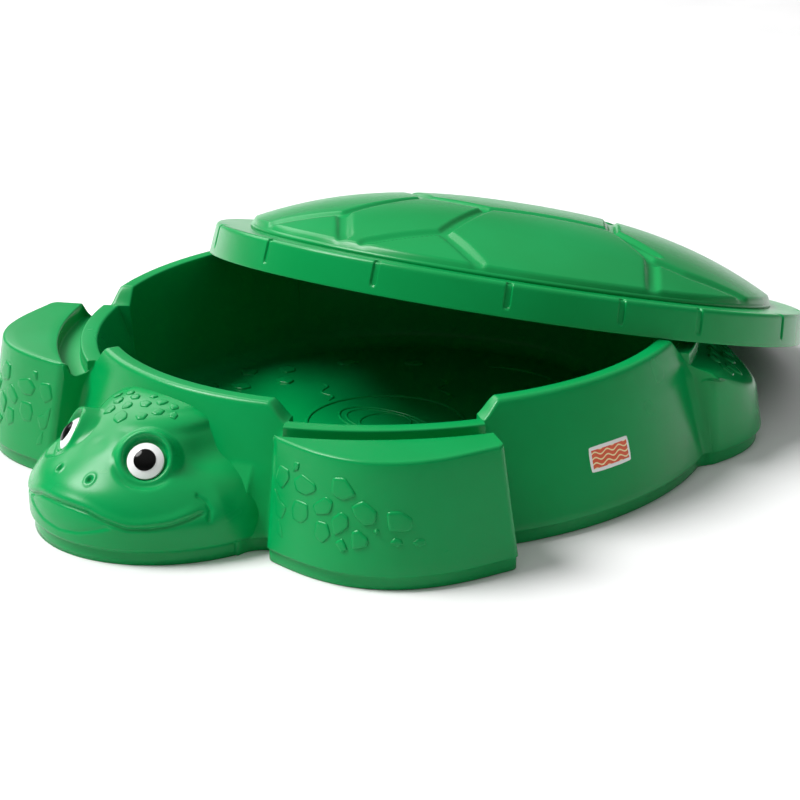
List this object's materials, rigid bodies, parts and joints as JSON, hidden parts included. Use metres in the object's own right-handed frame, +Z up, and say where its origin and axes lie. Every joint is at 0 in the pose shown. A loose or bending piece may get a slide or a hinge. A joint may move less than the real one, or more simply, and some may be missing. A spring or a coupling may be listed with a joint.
{
  "type": "sandbox with cover",
  "caption": "Low round sandbox shaped like a turtle, with seat-like legs, a head, a walled basin and a domed lift-off cover leaning half open on its rim.",
  "frame": {"origin": "on the ground at the centre of the tub's rim, on the flat underside of the basin floor", "axes": "+Z up; the turtle's head points along -Y and +X is its left-hand side"},
  "size_m": [1.0011, 1.4642, 0.3202],
  "materials": {
    "green_moulding": "semi-gloss moulded polyethylene with a faint pebble texture",
    "eye_white": "gloss white moulded plastic",
    "pupil_black": "high-gloss black moulded plastic",
    "label_film": "smooth printed film"
  },
  "bodies": {
    "tub_body": {"tub": "green_moulding", "eye_white_left": "eye_white", "eye_white_right": "eye_white", "pupil_left": "pupil_black", "pupil_right": "pupil_black", "side_label": "label_film"},
    "cover_body": {"cover": "green_moulding"}
  },
  "joints": [
    {"name": "cover_lift", "type": "slide", "parent": "tub_body", "child": "cover_body", "axis": [0, 0, 1], "range_m": [0, 0.35]}
  ]
}
